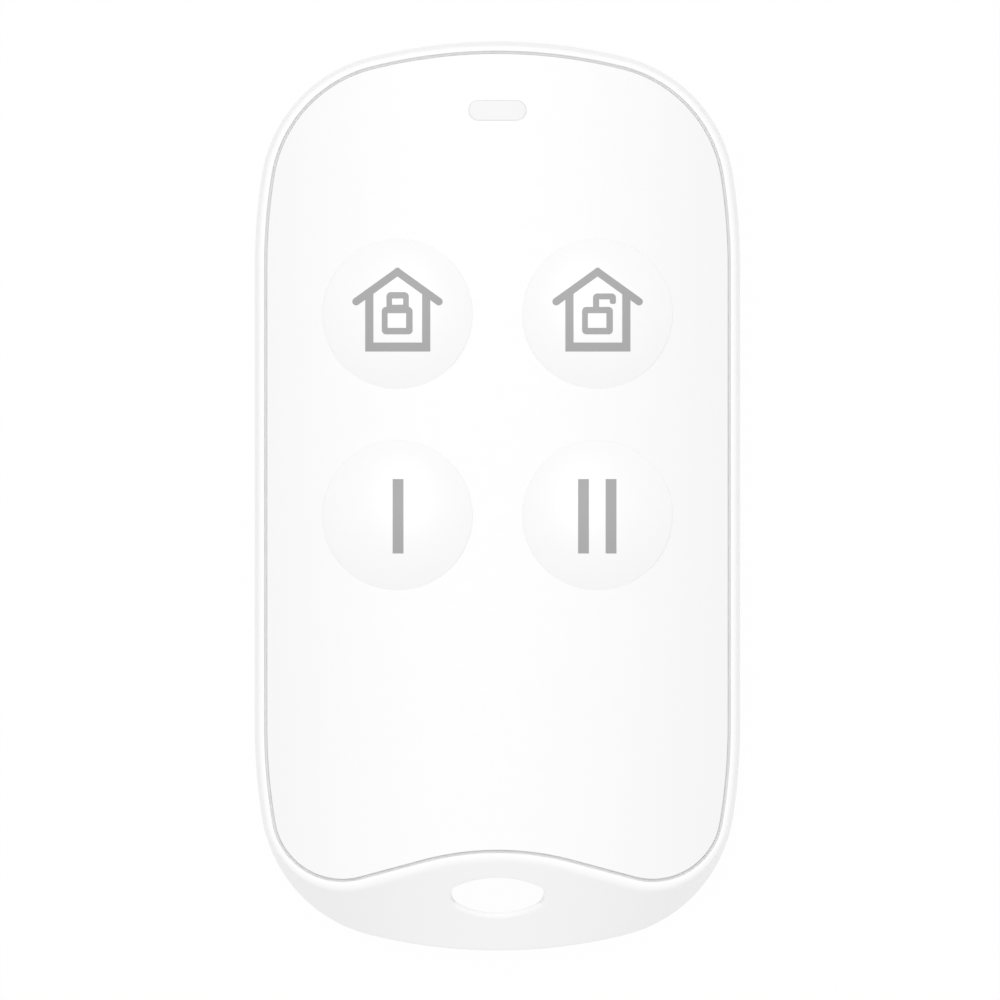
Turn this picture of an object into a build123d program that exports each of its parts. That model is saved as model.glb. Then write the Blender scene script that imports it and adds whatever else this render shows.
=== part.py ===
from build123d import *
import os
from math import asin, atan2, cos, degrees, radians, sin, sqrt

# Four-button alarm key fob: a slim housing with a crowned front, a sloping chin pierced by the
# key-ring eye, an inlaid front panel with four domed keys and a lamp window, and a rear cover.
# It lies on its back: +Z leaves the front, +Y points to the lamp end, the origin is the middle
# of the rear face. All lengths are in millimetres, all angles in degrees.

# Whole fob
fob_length = 65.0
fob_width = 34.7
crown_height = 11.2
parting_height = 4.6
crown_radius = 110.0
cut_overrun = 5.0

# Outline seen from the front: end arc, corner arc, easing arc, straight side
end_radius = 37.5
corner_radius = 10.3
easing_radius = 42.5
easing_angle = 8.9
rim_inset = 0.3
rim_trim = 0.3
rim_edge_radius = 0.36
back_edge_radius = 2.4

# Groove between rim and front panel, with its wave over the chin
groove_inset = 0.77
groove_width = 0.2
chin_length = 7.08
crest_radius = 20.5
flank_angle = 15.0
lobe_easing_angle = 9.6
chin_rim_reach = 0.24

# Front panel and the wall that carries it
panel_thickness = 1.0
panel_edge_chamfer = 0.08
adhesive_gap = 0.1
ceiling_height = 8.2
side_wall = 1.5

# Key-ring eye
eye_length = 6.6
eye_upper_rise = 1.02
eye_upper_end_radius = 0.4
eye_lower_rise = 1.48
eye_lower_end_radius = 0.9
eye_bar = 2.7

# Keys: domed caps that slide in the panel and rest on the switches
key_radius = 5.35
key_pitch_x = 14.3
key_pitch_y = 14.4
key_rows_middle = 5.83
dome_rise = 1.25
key_clearance = 0.06
key_wall_clearance = 0.3
flange_overhang = 0.5
flange_thickness = 0.7
flange_gap = 0.05
nib_radius = 1.5
key_travel = 0.3
key_skirt = 1.0
key_shoulder = 0.5

# Lamp window
window_length = 4.15
window_width = 1.45
window_from_end = 4.93
window_clearance = 0.02
window_flange_overhang = 0.6
window_flange_thickness = 0.6
lamp_gap = 0.15

# Circuit board
board_thickness = 1.0
board_height = 5.0
board_edge_gap = 0.5
board_tail = 12.9
board_notch_radius = 2.4
board_edge_radius = 1.2

# Switches
switch_size = 5.2
switch_height = 0.8
switch_corner_cut = 0.5
plunger_radius = 1.0
plunger_rise = 0.5
plunger_clearance = 0.06
switch_floor = 0.15
plunger_bottom_gap = 0.1

# Other parts on the board
lamp_size = (3.2, 1.6, 1.0)
lamp_edge_radius = 0.15
chip_size = (5.0, 5.0, 0.9)
chip_x = -4.6
chip_from_end = 14.9
chip_chamfer = 0.12
transmitter_size = (3.9, 4.9, 1.3)
transmitter_x = 4.4
transmitter_from_end = 14.9
crystal_size = (3.2, 2.5, 0.75)
crystal_x = 9.4
crystal_from_end = 15.5
small_part_size = (1.6, 0.8, 0.5)
small_part_from_end = 19.9
small_part_pitch = 2.9
small_part_count = 6
aerial_from_side = 8.35
aerial_strip_thickness = 0.4
aerial_drop = 1.2
aerial_from_end = 4.9
aerial_leg_length = 6.0
aerial_corner_radius = 2.5

# Coin cell and its contacts
cell_radius = 10.0
cell_thickness = 3.2
cell_lid_radius = 8.8
cell_lid_height = 0.25
cell_edge_chamfer = 0.3
cell_place_y = -2.0
contact_disc_radius = 4.0
contact_disc_thickness = 0.12
contact_tip_radius = 2.0
contact_dish_radius = 3.2
clip_thickness = 0.2
clip_width = 6.0
clip_gap = 0.1
clip_side_gap = 0.25
clip_foot_length = 1.2
clip_bend_radius = 0.35

# Rear cover
floor_thickness = 1.2
lip_thickness = 0.6
lip_height = 0.8
lip_clearance = 0.08
cell_rib_gap = 0.3
cell_rib_thickness = 0.8
cell_rib_height = 2.2
clip_slot_clearance = 0.6
post_radius = 1.4
post_from_side = 4.15
post_from_lamp_end = 11.0
post_from_tail = 18.1

# Screws that hold the rear cover to the housing
screw_from_side = 6.75
screw_from_tail = 10.9
screw_radius = 0.85
screw_length = 7.0
screw_head_radius = 1.7
screw_head_sink = 0.25
screw_head_angle = 90.0
screw_clearance = 0.05
boss_radius = 2.1
boss_gap = 0.05
cross_slot_width = 0.45
cross_slot_length = 1.9
cross_slot_depth = 0.5

# Hook at the lamp end of the rear cover
hook_width = 5.0
hook_reach = 0.4
hook_thickness = 0.7
hook_clearance = 0.08


def sine(angle):
    return sin(radians(angle))


def cosine(angle):
    return cos(radians(angle))


# Turns of the outline's arcs and the length of its straight side, from the radii
half_length = fob_length / 2
half_width = fob_width / 2
easing_step = easing_radius * (1 - cosine(easing_angle))
end_step = half_width - corner_radius * cosine(easing_angle) - easing_step
end_angle = degrees(asin(end_step / (end_radius - corner_radius)))
corner_angle = 90 - easing_angle - end_angle
side_end_y = (
    half_length
    - end_radius
    + (end_radius - corner_radius) * cosine(end_angle)
    - (easing_radius - corner_radius) * sine(easing_angle)
)

# Turn of the wave's lobe, from its flank to the easing arc
crest_y = chin_length - half_length
lobe_angle = flank_angle + 90 - lobe_easing_angle

# Heights and insets that several pieces share
panel_inset = groove_inset + groove_width / 2
recess_inset = groove_inset - groove_width / 2
cavity_inset = side_wall
wall_top_radius = crown_radius - panel_thickness - adhesive_gap
panel_back_radius = crown_radius - panel_thickness
crown_axis_z = crown_height - crown_radius
board_top = board_height + board_thickness
flange_top = ceiling_height - flange_gap
flange_bottom = flange_top - flange_thickness
plunger_top = board_top + switch_height + plunger_rise
plunger_bottom = board_top + switch_floor + plunger_bottom_gap + key_travel
flange_radius = key_radius + key_clearance + key_wall_clearance + flange_overhang
hook_bottom = parting_height + lip_height
dome_radius = (key_radius**2 + dome_rise**2) / (2 * dome_rise)
eye_y = -half_length + eye_bar + eye_lower_rise
window_y = half_length - window_from_end
cell_bottom = floor_thickness + clip_gap + clip_thickness
cell_top = cell_bottom + cell_thickness
key_places = {
    "arm": (-key_pitch_x / 2, key_rows_middle + key_pitch_y / 2),
    "disarm": (key_pitch_x / 2, key_rows_middle + key_pitch_y / 2),
    "one": (-key_pitch_x / 2, key_rows_middle - key_pitch_y / 2),
    "two": (key_pitch_x / 2, key_rows_middle - key_pitch_y / 2),
}
screw_x = half_width - screw_from_side
screw_y = screw_from_tail - half_length
screw_places = ((screw_x, screw_y), (-screw_x, screw_y))
post_x = half_width - post_from_side
post_rows_y = (half_length - post_from_lamp_end, key_rows_middle, post_from_tail - half_length)
post_places = [(side * post_x, y) for side in (-1, 1) for y in post_rows_y]
aerial_x = half_width - aerial_from_side
aerial_high_y = half_length - aerial_from_end
aerial_low_y = aerial_high_y - aerial_leg_length
clip_side_x = cell_radius + clip_side_gap + clip_thickness / 2
clip_foot_x = clip_side_x + clip_foot_length
clip_top_z = board_height - clip_thickness / 2
clip_base_z = cell_bottom - clip_thickness / 2


def draw_lamp_end(inset):
    """Right half of the lamp end, from the middle line to the end of the easing arc."""
    end = JernArc((0, half_length - inset), (1, 0), end_radius - inset, -end_angle)
    corner = JernArc(end @ 1, end % 1, corner_radius - inset, -corner_angle)
    easing = JernArc(corner @ 1, corner % 1, easing_radius - inset, -easing_angle)
    return easing @ 1


def draw_outline(inset):
    """Silhouette of the fob, moved inwards by the inset."""
    side_start = draw_lamp_end(inset)
    end = JernArc((0, inset - half_length), (1, 0), end_radius - inset, end_angle)
    corner = JernArc(end @ 1, end % 1, corner_radius - inset, corner_angle)
    easing = JernArc(corner @ 1, corner % 1, easing_radius - inset, easing_angle)
    Line(easing @ 1, side_start)
    mirror(about=Plane.YZ)


def flank_and_lobe(inset, reach):
    """Flank length and lobe radius that join the wave's crest to the side's easing arc."""
    crest = crest_radius - reach
    easing = easing_radius - inset
    x = half_width - easing_radius + easing * cosine(lobe_easing_angle) - crest * sine(flank_angle)
    crest_end_y = crest_y - reach - crest * (1 - cosine(flank_angle))
    y = -crest_end_y - side_end_y - easing * sine(lobe_easing_angle)
    x_share = cosine(lobe_easing_angle) + sine(flank_angle)
    y_share = cosine(flank_angle) - sine(lobe_easing_angle)
    share = cosine(flank_angle) * y_share + sine(flank_angle) * x_share
    return (x * y_share - y * x_share) / share, (y * cosine(flank_angle) + x * sine(flank_angle)) / share


def draw_wave_outline(inset, reach):
    """Outline of the front: sides at the inset, and a wave whose crest passes the groove's by the reach."""
    side_start = draw_lamp_end(inset)
    flank_length, lobe_radius = flank_and_lobe(inset, reach)
    crest = JernArc((0, crest_y - reach), (1, 0), crest_radius - reach, -flank_angle)
    flank = PolarLine(crest @ 1, flank_length, -flank_angle)
    lobe = JernArc(flank @ 1, flank % 1, lobe_radius, lobe_angle)
    easing = JernArc(lobe @ 1, lobe % 1, easing_radius - inset, lobe_easing_angle)
    Line(easing @ 1, side_start)
    mirror(about=Plane.YZ)


def draw_front_outline(inset):
    """Outline of the front that follows the groove all round."""
    draw_wave_outline(inset, groove_inset - inset)


def eye_side(rise, end_radius):
    """Radius and angle of the flat arc of half the eye, which a tight arc takes on to its end."""
    end_x = eye_length / 2 - end_radius
    radius = (end_x**2 + rise**2 - end_radius**2) / (2 * (rise - end_radius))
    return radius, degrees(atan2(end_x, radius - rise))


def draw_eye():
    """Oval of the key-ring eye: a flatter half above its line of ends, a deeper half below."""
    upper_radius, upper_angle = eye_side(eye_upper_rise, eye_upper_end_radius)
    lower_radius, lower_angle = eye_side(eye_lower_rise, eye_lower_end_radius)
    upper = JernArc((0, eye_y + eye_upper_rise), (1, 0), upper_radius, -upper_angle)
    upper_end = JernArc(upper @ 1, upper % 1, eye_upper_end_radius, upper_angle - 90)
    lower_end = JernArc(upper_end @ 1, upper_end % 1, eye_lower_end_radius, lower_angle - 90)
    JernArc(lower_end @ 1, lower_end % 1, lower_radius, -lower_angle)
    mirror(about=Plane.YZ)


def draw_crown(radius, bottom):
    """Cross-section under the crowned front, seen along the fob: a box under an arc."""
    reach = half_width + cut_overrun
    shoulder = crown_axis_z + sqrt(radius**2 - reach**2)
    left = Line((-reach, bottom), (-reach, shoulder))
    arc = RadiusArc(left @ 1, (reach, shoulder), radius)
    right = Line(arc @ 1, (reach, bottom))
    Line(right @ 1, left @ 0)


def panel_height(x):
    """Height of the crowned front at a distance from the middle line."""
    return crown_axis_z + sqrt(crown_radius**2 - x**2)


# Form under the crowned surface of the wall that carries the panel
with BuildPart() as wall_form:
    with BuildSketch(Plane.XZ):
        with BuildLine():
            draw_crown(wall_top_radius, 0)
        make_face()
    extrude(amount=half_length + cut_overrun, both=True)

# Recess in the housing's front, which takes the panel
with BuildPart() as panel_recess:
    with BuildSketch(Plane.XY.offset(ceiling_height)):
        with BuildLine():
            draw_front_outline(recess_inset)
        make_face()
    extrude(amount=crown_height - ceiling_height + cut_overrun)
    add(wall_form.part, mode=Mode.SUBTRACT)

# Front housing: rim, chin, side walls and the wall under the panel
with BuildPart() as front_housing:
    with BuildSketch(Plane.XY.offset(parting_height)):
        with BuildLine():
            draw_outline(0)
        make_face()
    with BuildSketch(Plane.XY.offset(crown_height + rim_trim)):
        with BuildLine():
            draw_wave_outline(rim_inset, chin_rim_reach)
        make_face()
    loft(ruled=True)
    with BuildSketch(Plane.XZ):
        with BuildLine():
            draw_crown(crown_radius, 0)
        make_face()
    extrude(amount=half_length + cut_overrun, both=True, mode=Mode.INTERSECT)
    crown_face = front_housing.faces().sort_by(Axis.Z)[-1]
    fillet(crown_face.edges(), radius=rim_edge_radius)
    add(panel_recess.part, mode=Mode.SUBTRACT)
    # cavity, with the rebate for the rear cover's lip
    with BuildSketch(Plane.XY.offset(parting_height)):
        with BuildLine():
            draw_front_outline(cavity_inset)
        make_face()
    extrude(amount=ceiling_height - parting_height, mode=Mode.SUBTRACT)
    with BuildSketch(Plane.XY.offset(parting_height)):
        with BuildLine():
            draw_front_outline(cavity_inset - lip_thickness - lip_clearance)
        make_face()
    extrude(amount=lip_height + lip_clearance, mode=Mode.SUBTRACT)
    # pocket above the rebate that the rear cover's hook enters
    with BuildSketch(Plane.XY.offset(hook_bottom - hook_clearance)):
        with BuildLine():
            draw_front_outline(cavity_inset - lip_thickness - hook_reach - hook_clearance)
        make_face()
        with Locations((0, half_length)):
            Rectangle(hook_width + 2 * hook_clearance, half_length, mode=Mode.INTERSECT)
    extrude(amount=hook_thickness + 2 * hook_clearance, mode=Mode.SUBTRACT)
    # openings for keys and lamp window
    with BuildSketch(Plane.XY.offset(ceiling_height)):
        with Locations(*key_places.values()):
            Circle(key_radius + key_clearance + key_wall_clearance)
        with Locations((0, window_y)):
            SlotOverall(window_length + 2 * window_clearance, window_width + 2 * window_clearance)
    extrude(amount=crown_height - ceiling_height, mode=Mode.SUBTRACT)
    # screw bosses
    with BuildSketch(Plane.XY.offset(parting_height + boss_gap)):
        with Locations(*screw_places):
            Circle(boss_radius)
    extrude(amount=ceiling_height - parting_height - boss_gap)
    with BuildSketch(Plane.XY.offset(parting_height)):
        with Locations(*screw_places):
            Circle(screw_radius + screw_clearance)
    extrude(amount=ceiling_height - parting_height - boss_gap, mode=Mode.SUBTRACT)
    # pads that the board's front rests on, over the rear cover's posts
    with BuildSketch(Plane.XY.offset(board_top)):
        with Locations(*post_places):
            Circle(post_radius)
    extrude(amount=ceiling_height - board_top)
    # key-ring eye
    with BuildSketch(Plane.XY.offset(parting_height)):
        with BuildLine():
            draw_eye()
        make_face()
    extrude(amount=crown_height, mode=Mode.SUBTRACT)

# Front panel: crowned plate with round key holes and the window slot
with BuildPart() as front_panel:
    with BuildSketch(Plane.XY.offset(ceiling_height)):
        with BuildLine():
            draw_front_outline(panel_inset)
        make_face()
    extrude(amount=crown_height - ceiling_height)
    with BuildSketch(Plane.XZ):
        with BuildLine():
            draw_crown(crown_radius, 0)
        make_face()
        with BuildLine():
            draw_crown(panel_back_radius, 0)
        make_face(mode=Mode.SUBTRACT)
    extrude(amount=half_length + cut_overrun, both=True, mode=Mode.INTERSECT)
    top_edges = front_panel.faces().sort_by(Axis.Z)[-1].edges()
    chamfer(top_edges, length=panel_edge_chamfer)
    with BuildSketch(Plane.XY.offset(ceiling_height)):
        with Locations(*key_places.values()):
            Circle(key_radius + key_clearance)
        with Locations((0, window_y)):
            SlotOverall(window_length + 2 * window_clearance, window_width + 2 * window_clearance)
    extrude(amount=crown_height, mode=Mode.SUBTRACT)

# Lamp window: a light guide whose flange is bonded under the housing's front wall
with BuildPart() as lamp_window:
    with BuildSketch(Plane.XY.offset(board_top + lamp_size[2] + lamp_gap)):
        with Locations((0, window_y)):
            SlotOverall(window_length, window_width)
    extrude(amount=crown_height - board_top)
    with BuildSketch(Plane.XZ):
        with BuildLine():
            draw_crown(crown_radius, 0)
        make_face()
    extrude(amount=half_length + cut_overrun, both=True, mode=Mode.INTERSECT)
    with BuildSketch(Plane.XY.offset(ceiling_height - window_flange_thickness)):
        with Locations((0, window_y)):
            SlotOverall(
                window_length + 2 * window_flange_overhang,
                window_width + 2 * window_flange_overhang,
            )
    extrude(amount=window_flange_thickness)


def make_key(x, y):
    """Domed cap: its dome stands square to the crowned panel, its stem rests on the switch."""
    tilt = degrees(asin(x / crown_radius))
    depth = dome_radius - dome_rise
    surface = panel_height(x)
    with BuildPart() as key:
        with BuildSketch(Plane.XY.offset(flange_bottom)):
            with Locations((x, y)):
                Circle(key_radius)
        extrude(amount=crown_height + dome_rise - flange_bottom)
        with Locations((x - depth * sine(tilt), y, surface - depth * cosine(tilt))):
            Sphere(dome_radius, mode=Mode.INTERSECT)
        with BuildSketch(Plane.XY.offset(flange_bottom)):
            with Locations((x, y)):
                Circle(flange_radius)
        extrude(amount=flange_thickness)
        with BuildSketch(Plane.XY.offset(flange_bottom)):
            with Locations((x, y)):
                Circle(key_radius - key_skirt)
        extrude(amount=surface - key_shoulder - flange_bottom, mode=Mode.SUBTRACT)
        with BuildSketch(Plane.XY.offset(plunger_top)):
            with Locations((x, y)):
                Circle(nib_radius)
        extrude(amount=surface - plunger_top)
    return key.part


def make_switch(x, y):
    """Low tact switch: a square body with a round well for its plunger."""
    with BuildPart() as switch:
        with BuildSketch(Plane.XY.offset(board_top)) as profile:
            with Locations((x, y)):
                Rectangle(switch_size, switch_size)
            chamfer(profile.vertices(), length=switch_corner_cut)
        extrude(amount=switch_height)
        with BuildSketch(Plane.XY.offset(board_top + switch_floor)):
            with Locations((x, y)):
                Circle(plunger_radius + plunger_clearance)
        extrude(amount=switch_height, mode=Mode.SUBTRACT)
    return switch.part


def make_plunger(x, y):
    """Round plunger that stands in the switch's well."""
    with BuildPart() as plunger:
        with BuildSketch(Plane.XY.offset(plunger_bottom)):
            with Locations((x, y)):
                Circle(plunger_radius)
        extrude(amount=plunger_top - plunger_bottom)
    return plunger.part


def make_board_part(size, x, from_end):
    """Small part soldered under the board, with broken edges on its free side."""
    length, width, height = size
    with BuildPart() as board_part:
        with BuildSketch(Plane.XY.offset(board_height - height)):
            with Locations((x, half_length - from_end)):
                Rectangle(length, width)
        extrude(amount=height)
        chamfer(board_part.edges().group_by(Axis.Z)[0], length=chip_chamfer)
    return board_part.part


# Circuit board: follows the cavity, cut square at its tail and notched round the screw bosses
with BuildPart() as circuit_board:
    with BuildSketch(Plane.XY.offset(board_height)) as board_profile:
        with BuildLine():
            draw_front_outline(cavity_inset + board_edge_gap)
        make_face()
        with Locations((0, board_tail - half_length)):
            Rectangle(fob_width, fob_length, align=(Align.CENTER, Align.MIN), mode=Mode.INTERSECT)
        fillet(board_profile.vertices().group_by(Axis.Y)[0], radius=board_edge_radius)
        with Locations(*screw_places):
            Circle(board_notch_radius, mode=Mode.SUBTRACT)
    extrude(amount=board_thickness)

# Status lamp on the front of the board, under the window
with BuildPart() as status_lamp:
    with BuildSketch(Plane.XY.offset(board_top)):
        with Locations((0, window_y)):
            Rectangle(lamp_size[0], lamp_size[1])
    extrude(amount=lamp_size[2])
    fillet(status_lamp.edges().group_by(Axis.Z)[-1], radius=lamp_edge_radius)

# Resistors and capacitors in one row under the board
with BuildPart() as small_parts:
    with BuildSketch(Plane.XY.offset(board_height - small_part_size[2])):
        with Locations((0, half_length - small_part_from_end)):
            with GridLocations(small_part_pitch, 0, small_part_count, 1):
                Rectangle(small_part_size[0], small_part_size[1])
    extrude(amount=small_part_size[2])

# Aerial: a flat metal loop on edge, soldered under the board's lamp end
with BuildPart() as aerial:
    with BuildSketch(Plane.XY.offset(board_height - aerial_drop)):
        with BuildLine():
            FilletPolyline(
                (-aerial_x, aerial_low_y),
                (-aerial_x, aerial_high_y),
                (aerial_x, aerial_high_y),
                (aerial_x, aerial_low_y),
                radius=aerial_corner_radius,
            )
        trace(line_width=aerial_strip_thickness)
    extrude(amount=aerial_drop)

# Coin cell: can below, smaller cap above
with BuildPart() as coin_cell:
    with BuildSketch(Plane.XY.offset(cell_bottom)):
        with Locations((0, cell_place_y)):
            Circle(cell_radius)
    extrude(amount=cell_thickness - cell_lid_height)
    chamfer(coin_cell.edges().group_by(Axis.Z)[0], length=cell_edge_chamfer)
    with BuildSketch(Plane.XY.offset(cell_top - cell_lid_height)):
        with Locations((0, cell_place_y)):
            Circle(cell_lid_radius)
    extrude(amount=cell_lid_height)

# Negative contact: a dished disc between the board and the cell's cap
with BuildPart() as cell_contact:
    with BuildSketch(Plane.XZ.offset(-cell_place_y)):
        with BuildLine():
            Polyline(
                (0, cell_top),
                (contact_tip_radius, cell_top),
                (contact_dish_radius, board_height - contact_disc_thickness),
                (contact_disc_radius, board_height - contact_disc_thickness),
                (contact_disc_radius, board_height),
                (0, board_height),
                close=True,
            )
        make_face()
    revolve(axis=Axis((0, cell_place_y, 0), (0, 0, 1)))

# Positive clip: a bent strip that passes under the cell and is soldered to the board at both feet
with BuildPart() as cell_clip:
    with BuildSketch(Plane.XZ.offset(-cell_place_y)):
        with BuildLine():
            FilletPolyline(
                (-clip_foot_x, clip_top_z),
                (-clip_side_x, clip_top_z),
                (-clip_side_x, clip_base_z),
                (clip_side_x, clip_base_z),
                (clip_side_x, clip_top_z),
                (clip_foot_x, clip_top_z),
                radius=clip_bend_radius,
            )
        trace(line_width=clip_thickness)
    extrude(amount=clip_width / 2, both=True)

# Rear cover: a tray with a rounded back edge, closed and solid under the chin
with BuildPart() as rear_cover:
    with BuildSketch(Plane.XY):
        with BuildLine():
            draw_outline(0)
        make_face()
    extrude(amount=parting_height)
    fillet(rear_cover.edges().group_by(Axis.Z)[0], radius=back_edge_radius)
    # lip that enters the housing's rebate
    with BuildSketch(Plane.XY.offset(parting_height)):
        with BuildLine():
            draw_front_outline(cavity_inset - lip_thickness)
        make_face()
    extrude(amount=lip_height)
    # hook on the lip at the lamp end
    with BuildSketch(Plane.XY.offset(hook_bottom)):
        with BuildLine():
            draw_front_outline(cavity_inset - lip_thickness - hook_reach)
        make_face()
        with Locations((0, half_length)):
            Rectangle(hook_width, half_length, mode=Mode.INTERSECT)
    extrude(amount=hook_thickness)
    # cavity
    with BuildSketch(Plane.XY.offset(floor_thickness)):
        with BuildLine():
            draw_front_outline(cavity_inset)
        make_face()
    extrude(amount=crown_height, mode=Mode.SUBTRACT)
    # round rib that locates the cell, open where the clip passes
    with BuildSketch(Plane.XY.offset(floor_thickness)):
        with Locations((0, cell_place_y)):
            Circle(cell_radius + cell_rib_gap + cell_rib_thickness)
            Circle(cell_radius + cell_rib_gap, mode=Mode.SUBTRACT)
            Rectangle(fob_width, clip_width + 2 * clip_slot_clearance, mode=Mode.SUBTRACT)
    extrude(amount=cell_rib_height)
    # posts that press the board against the housing's pads
    with BuildSketch(Plane.XY.offset(floor_thickness)):
        with Locations(*post_places):
            Circle(post_radius)
    extrude(amount=board_height - floor_thickness)
    # pillars for the screws, with countersunk holes from the back
    with BuildSketch(Plane.XY.offset(floor_thickness)):
        with Locations(*screw_places):
            Circle(boss_radius)
    extrude(amount=parting_height - floor_thickness)
    with Locations(*[Location((x, y, 0), (180, 0, 0)) for x, y in screw_places]):
        CounterSinkHole(
            radius=screw_radius + screw_clearance,
            counter_sink_radius=screw_head_radius + screw_head_sink + screw_clearance,
            depth=parting_height,
            counter_sink_angle=screw_head_angle,
        )
    # key-ring eye
    with BuildSketch(Plane.XY):
        with BuildLine():
            draw_eye()
        make_face()
    extrude(amount=crown_height, mode=Mode.SUBTRACT)

# Two countersunk screws, with a crossed slot in each head
with BuildPart() as cover_screws:
    with BuildSketch(Plane.XY.offset(screw_head_sink)):
        with Locations(*screw_places):
            Circle(screw_head_radius)
    extrude(amount=screw_head_radius - screw_radius, taper=screw_head_angle / 2)
    with BuildSketch(Plane.XY.offset(screw_head_sink)):
        with Locations(*screw_places):
            Circle(screw_radius)
    extrude(amount=screw_length)
    with BuildSketch(Plane.XY.offset(screw_head_sink)):
        with Locations(*screw_places):
            Rectangle(cross_slot_length, cross_slot_width)
            Rectangle(cross_slot_width, cross_slot_length)
    extrude(amount=cross_slot_depth, mode=Mode.SUBTRACT)

pieces = {
    "front_housing": front_housing.part,
    "front_panel": front_panel.part,
    "lamp_window": lamp_window.part,
    "circuit_board": circuit_board.part,
    "status_lamp": status_lamp.part,
    "radio_chip": make_board_part(chip_size, chip_x, chip_from_end),
    "transmitter_chip": make_board_part(transmitter_size, transmitter_x, transmitter_from_end),
    "crystal": make_board_part(crystal_size, crystal_x, crystal_from_end),
    "small_board_parts": small_parts.part,
    "aerial": aerial.part,
    "coin_cell": coin_cell.part,
    "cell_negative_contact": cell_contact.part,
    "cell_positive_clip": cell_clip.part,
    "rear_cover": rear_cover.part,
    "cover_screws": cover_screws.part,
}
for key_name, (key_x, key_y) in key_places.items():
    pieces["button_" + key_name] = make_key(key_x, key_y)
    pieces["switch_" + key_name] = make_switch(key_x, key_y)
    pieces["plunger_" + key_name] = make_plunger(key_x, key_y)

os.makedirs("parts", exist_ok=True)
for piece_name, piece in pieces.items():
    piece.label = piece_name
    export_step(piece, "parts/" + piece_name + ".step")
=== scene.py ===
from math import asin, atan2, cos, pi, radians, sin

import bmesh
import bpy
import numpy as np
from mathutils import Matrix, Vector
from mathutils.bvhtree import BVHTree


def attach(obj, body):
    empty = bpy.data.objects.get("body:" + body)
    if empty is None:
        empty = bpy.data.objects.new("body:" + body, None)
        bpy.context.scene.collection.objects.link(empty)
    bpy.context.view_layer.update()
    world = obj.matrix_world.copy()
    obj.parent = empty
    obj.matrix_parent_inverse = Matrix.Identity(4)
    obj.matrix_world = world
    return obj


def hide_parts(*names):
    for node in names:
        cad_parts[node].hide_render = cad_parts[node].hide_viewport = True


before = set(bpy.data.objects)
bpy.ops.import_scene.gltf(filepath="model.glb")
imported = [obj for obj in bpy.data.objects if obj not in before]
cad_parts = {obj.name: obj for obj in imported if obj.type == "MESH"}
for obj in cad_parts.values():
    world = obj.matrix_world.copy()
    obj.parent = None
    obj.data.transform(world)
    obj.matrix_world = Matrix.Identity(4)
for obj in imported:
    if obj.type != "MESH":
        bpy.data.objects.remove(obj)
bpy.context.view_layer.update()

# Dressed model of the four-button alarm key fob. Sizes are in millimetres, as in the part's own
# source, and angles in radians; the finished meshes are scaled to metres.
MM = 0.001

# Whole fob
fob_length = 65.0
fob_width = 34.7
crown_height = 11.2
parting_height = 4.6
crown_radius = 110.0

# Outline and wave of the front
end_radius = 37.5
corner_radius = 10.3
easing_radius = 42.5
easing_angle = radians(8.9)
rim_inset = 0.3
rim_trim = 0.3
rim_round_share = 0.72
back_edge_radius = 2.4
groove_inset = 0.77
groove_width = 0.2
groove_depth = 0.47
seat_gap = 0.01
chin_length = 7.08
crest_radius = 20.5
flank_angle = radians(15.0)
lobe_easing_angle = radians(9.6)
chin_rim_reach = 0.24
parting_break = 0.1

# Front panel and the walls behind it
panel_thickness = 1.0
adhesive_gap = 0.1
ceiling_height = 8.2
side_wall = 1.5
edge_softness = 0.045
wall_overlap = 0.2

# Key-ring eye; its cutting tool widens by the flare and the lift, and then goes straight up
eye_length = 6.6
eye_upper_rise = 1.02
eye_upper_end_radius = 0.4
eye_lower_rise = 1.48
eye_lower_end_radius = 0.9
eye_bar = 2.7
eye_edge_radius = 0.36
eye_edge_first_angle = radians(50)
eye_edge_start_shares = (0.42, 0.8)
eye_edge_end_share = 0.93
eye_back_radius = 0.22
eye_tool_flare = 0.3
eye_tool_lift = 0.1
eye_tool_rise = 2.0

# Keys
key_radius = 5.35
key_pitch_x = 14.3
key_pitch_y = 14.4
key_rows_middle = 5.83
dome_rise = 1.25
key_seam = 0.0015
key_wall_gap = 0.36
key_shoulder = 0.5
key_skirt = 1.0
flange_radius = 6.21
flange_top = 8.15
flange_bottom = 7.45
nib_radius = 1.5
nib_bottom = 7.3

# Lamp window
window_length = 4.15
window_width = 1.45
window_from_end = 4.93
window_seam = 0.0005
window_softness = 0.04
window_bottom = 7.15
window_bottom_shares = (0.4, 0.8, 1)
window_flange_bottom = 7.6
window_flange_reach = 0.6

# Rear cover
floor_thickness = 1.2
lip_thickness = 0.6
lip_height = 0.8
lip_clearance = 0.08
hook_width = 5.0
hook_reach = 0.4
hook_thickness = 0.7
hook_clearance = 0.08
cell_place_y = -2.0
rib_inner_radius = 10.3
rib_outer_radius = 11.1
rib_height = 2.2
rib_gap_width = 7.2
post_radius = 1.4
post_x = 13.2
post_rows_y = (21.5, 5.83, -14.4)
board_height = 5.0
board_top = 6.0
boss_radius = 2.1
boss_gap = 0.05

# Screws; the head's round is given as insets from its rim and rises from its face
screw_x = 10.6
screw_y = -21.6
screw_hole_radius = 0.9
screw_sink_radius = 2.0
screw_head_radius = 1.7
screw_head_sink = 0.25
screw_face_radii = (0.5, 1.0)
screw_head_round = ((0.14, 0), (0.06, 0.015), (0.01, 0.06), (0.04, 0.12))
screw_core_radius = 0.72
screw_thread_radius = 0.85
screw_length = 7.0
screw_tip_share = 0.7
screw_tip_ring_gap = 0.05
screw_tip_point_gap = 0.02
thread_pitch = 0.6
thread_start = 0.08
thread_end = 0.2
thread_steepness = 1.6
thread_root = 0.3

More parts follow.
